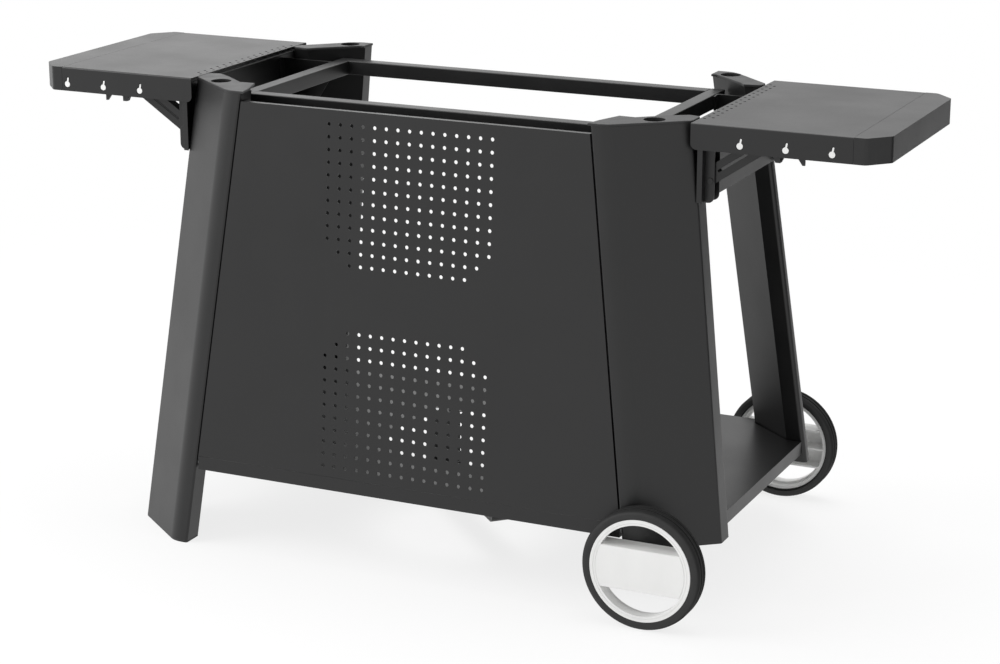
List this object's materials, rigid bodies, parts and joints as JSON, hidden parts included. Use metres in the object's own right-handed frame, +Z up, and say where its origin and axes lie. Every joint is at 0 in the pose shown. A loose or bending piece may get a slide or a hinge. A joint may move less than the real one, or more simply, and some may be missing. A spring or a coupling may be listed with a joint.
{
  "type": "outdoor pizza oven table",
  "caption": "Wheeled steel stand for an outdoor pizza oven, with an open top frame, perforated front panel, bottom shelf and folding side tables.",
  "frame": {"origin": "on the floor, below the middle of the bounding box", "axes": "+Z up, +X along the length towards the end with the wheels, -Y towards the perforated front panel"},
  "size_m": [1.5336, 0.719, 0.791],
  "materials": {
    "black_coat": "matt black powder coat with a fine texture",
    "dark_moulding": "dark moulded plastic",
    "zinc_steel": "zinc-plated steel",
    "pale_moulding": "light grey moulded plastic",
    "tyre_rubber": "black rubber"
  },
  "bodies": {
    "stand": {"front_left_leg": "black_coat", "front_right_leg": "black_coat", "back_left_leg": "black_coat", "back_right_leg": "black_coat", "front_left_cap": "dark_moulding", "front_right_cap": "dark_moulding", "back_left_cap": "dark_moulding", "back_right_cap": "dark_moulding", "front_left_foot": "dark_moulding", "back_left_foot": "dark_moulding", "front_rail": "black_coat", "back_rail": "black_coat", "left_rail": "black_coat", "right_rail": "black_coat", "front_left_gusset": "black_coat", "front_right_gusset": "black_coat", "back_left_gusset": "black_coat", "back_right_gusset": "black_coat", "front_panel": "black_coat", "bottom_shelf": "black_coat", "bottle_cradle": "black_coat", "left_beam": "black_coat", "right_beam": "black_coat", "axle": "zinc_steel", "front_axle_bracket": "black_coat", "back_axle_bracket": "black_coat", "front_left_channel": "black_coat", "front_right_channel": "black_coat", "back_left_channel": "black_coat", "back_right_channel": "black_coat", "hinge_pins": "black_coat", "strut_pins": "black_coat", "axle_clips": "zinc_steel", "panel_bolts": "zinc_steel", "frame_bolts": "zinc_steel", "cradle_bolts": "zinc_steel"},
    "left_table": {"left_table_top": "black_coat", "left_table_end": "black_coat", "front_left_arm": "black_coat", "back_left_arm": "black_coat", "left_lever_rivets": "black_coat"},
    "right_table": {"right_table_top": "black_coat", "right_table_end": "black_coat", "front_right_arm": "black_coat", "back_right_arm": "black_coat", "right_lever_rivets": "black_coat"},
    "front_left_strut_body": {"front_left_strut": "black_coat"},
    "front_right_strut_body": {"front_right_strut": "black_coat"},
    "back_left_strut_body": {"back_left_strut": "black_coat"},
    "back_right_strut_body": {"back_right_strut": "black_coat"},
    "front_left_lever_body": {"front_left_lever": "dark_moulding"},
    "front_right_lever_body": {"front_right_lever": "dark_moulding"},
    "back_left_lever_body": {"back_left_lever": "dark_moulding"},
    "back_right_lever_body": {"back_right_lever": "dark_moulding"},
    "front_wheel": {"front_tyre": "tyre_rubber", "front_rim": "pale_moulding", "front_bush": "dark_moulding"},
    "back_wheel": {"back_tyre": "tyre_rubber", "back_rim": "pale_moulding", "back_bush": "dark_moulding"}
  },
  "joints": [
    {"name": "left_table_fold", "type": "hinge", "parent": "stand", "child": "left_table", "pos_m": [-0.482, 0, 0.765], "axis": [0, -1, 0], "range_deg": [0, 80]},
    {"name": "front_left_strut_turn", "type": "hinge", "parent": "stand", "child": "front_left_strut_body", "pos_m": [-0.481, -0.172, 0.6975], "axis": [0, -1, 0], "range_deg": [0, 112.3]},
    {"name": "front_left_lever_press", "type": "hinge", "parent": "left_table", "child": "front_left_lever_body", "pos_m": [-0.59, -0.188, 0.763], "axis": [0, 1, 0], "range_deg": [0, 20], "stiffness_Nm_per_rad": 0.3, "springref_deg": -11.46},
    {"name": "back_left_strut_turn", "type": "hinge", "parent": "stand", "child": "back_left_strut_body", "pos_m": [-0.481, 0.172, 0.6975], "axis": [0, -1, 0], "range_deg": [0, 112.3]},
    {"name": "back_left_lever_press", "type": "hinge", "parent": "left_table", "child": "back_left_lever_body", "pos_m": [-0.59, 0.188, 0.763], "axis": [0, 1, 0], "range_deg": [0, 20], "stiffness_Nm_per_rad": 0.3, "springref_deg": -11.46},
    {"name": "right_table_fold", "type": "hinge", "parent": "stand", "child": "right_table", "pos_m": [0.482, 0, 0.765], "axis": [0, 1, 0], "range_deg": [0, 80]},
    {"name": "front_right_strut_turn", "type": "hinge", "parent": "stand", "child": "front_right_strut_body", "pos_m": [0.481, -0.172, 0.6975], "axis": [0, 1, 0], "range_deg": [0, 112.3]},
    {"name": "front_right_lever_press", "type": "hinge", "parent": "right_table", "child": "front_right_lever_body", "pos_m": [0.59, -0.188, 0.763], "axis": [0, -1, 0], "range_deg": [0, 20], "stiffness_Nm_per_rad": 0.3, "springref_deg": -11.46},
    {"name": "back_right_strut_turn", "type": "hinge", "parent": "stand", "child": "back_right_strut_body", "pos_m": [0.481, 0.172, 0.6975], "axis": [0, 1, 0], "range_deg": [0, 112.3]},
    {"name": "back_right_lever_press", "type": "hinge", "parent": "right_table", "child": "back_right_lever_body", "pos_m": [0.59, 0.188, 0.763], "axis": [0, -1, 0], "range_deg": [0, 20], "stiffness_Nm_per_rad": 0.3, "springref_deg": -11.46},
    {"name": "front_wheel_spin", "type": "hinge", "parent": "stand", "child": "front_wheel", "pos_m": [0.442, -0.3415, 0.1], "axis": [0, 1, 0], "continuous": true},
    {"name": "back_wheel_spin", "type": "hinge", "parent": "stand", "child": "back_wheel", "pos_m": [0.442, 0.3415, 0.1], "axis": [0, 1, 0], "continuous": true}
  ],
  "couplings": [
    {"joint": "front_left_strut_turn", "follows": "left_table_fold", "ratio": 1.3907},
    {"joint": "back_left_strut_turn", "follows": "left_table_fold", "ratio": 1.3907},
    {"joint": "front_right_strut_turn", "follows": "right_table_fold", "ratio": 1.3907},
    {"joint": "back_right_strut_turn", "follows": "right_table_fold", "ratio": 1.3907}
  ]
}
